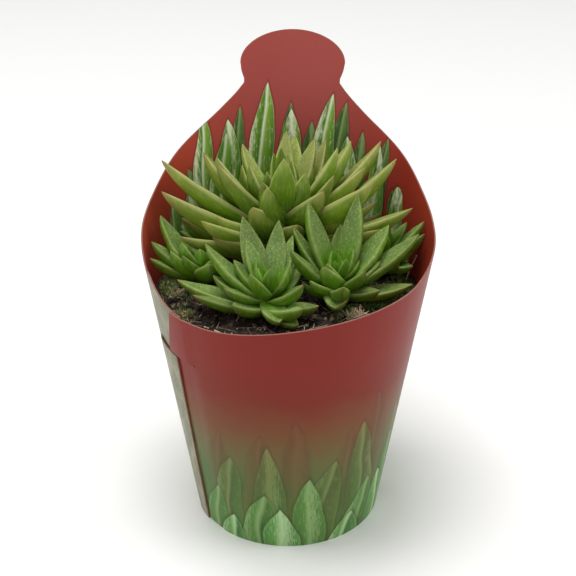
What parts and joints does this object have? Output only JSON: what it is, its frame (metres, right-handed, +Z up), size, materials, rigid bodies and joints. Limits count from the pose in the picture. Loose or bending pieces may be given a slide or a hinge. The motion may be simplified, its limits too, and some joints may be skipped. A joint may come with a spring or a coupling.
{
  "type": "potted haworthia in a card sleeve",
  "caption": "Clump of pointed succulent leaf rosettes in a round nursery pot, standing in a rolled cone of printed card with a low front rim and a tall tabbed back panel.",
  "frame": {"origin": "middle of the pot's base, on the table", "axes": "+Z up, -Y towards the sleeve's low front rim, +Y towards its tall back panel, +X right"},
  "size_m": [0.0939, 0.1005, 0.1495],
  "materials": {
    "sleeve_card": "glossy printed and varnished card",
    "pot_plastic": "thin moulded black plastic",
    "peat": "damp crumbly peat",
    "old_leaf": "fleshy green leaf, satin, reddish along its edges",
    "young_leaf": "fleshy light green leaf, satin"
  },
  "bodies": {
    "root": {"card_sleeve": "sleeve_card", "nursery_pot": "pot_plastic", "potting_soil": "peat", "rosette_main": "old_leaf", "rosette_front_left": "young_leaf", "rosette_front_right": "young_leaf", "rosette_left": "young_leaf", "rosette_right": "young_leaf", "rosette_back_left": "young_leaf", "rosette_back_right": "young_leaf"}
  },
  "joints": []
}
